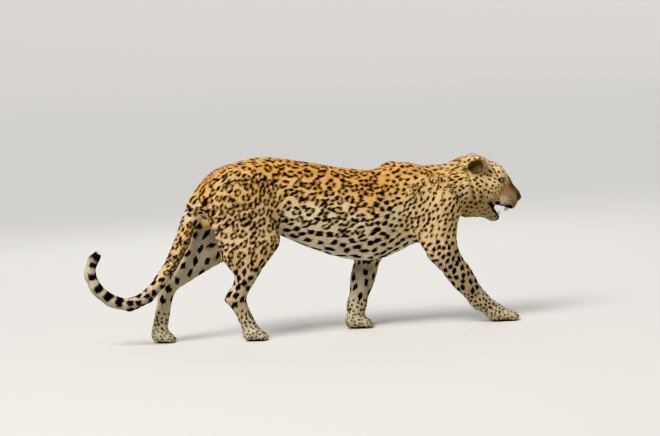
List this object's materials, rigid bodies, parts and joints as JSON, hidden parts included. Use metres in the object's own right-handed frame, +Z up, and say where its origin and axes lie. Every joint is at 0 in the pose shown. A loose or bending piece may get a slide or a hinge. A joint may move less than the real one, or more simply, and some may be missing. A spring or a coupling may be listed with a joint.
{
  "type": "leopard",
  "caption": "Life-size standing leopard in mid stride with head low and mouth part open, tail hanging and curled up at the tip; a still display model.",
  "frame": {"origin": "on the floor under the middle of the outline, midway between nose and hindmost bend of the tail", "axes": "+X forwards, the way the animal walks; +Y to its left; +Z up"},
  "size_m": [1.7986, 0.2817, 0.7225],
  "materials": {
    "coat": "short dense fur, tawny with dark rosettes",
    "pale_coat": "short dense fur, pale with small dark spots",
    "eye": "clear wet eye over a yellow-green iris",
    "nose_skin": "bare moist skin",
    "tongue_skin": "moist rough tongue"
  },
  "bodies": {
    "root": {"torso": "coat", "neck": "coat", "head": "coat", "jaw": "pale_coat", "ear_right": "coat", "ear_left": "coat", "eye_right": "eye", "eye_left": "eye", "nose": "nose_skin", "tongue": "tongue_skin", "scrotum": "coat", "tail_1": "coat", "tail_2": "coat", "tail_3": "coat", "tail_4": "coat", "tail_5": "coat", "hind_right_thigh": "coat", "hind_right_shank": "coat", "hind_right_foot": "pale_coat", "hind_left_thigh": "coat", "hind_left_shank": "coat", "hind_left_foot": "pale_coat", "fore_right_upper": "coat", "fore_right_forearm": "coat", "fore_right_paw": "pale_coat", "fore_left_upper": "coat", "fore_left_forearm": "coat", "fore_left_paw": "pale_coat"}
  },
  "joints": []
}
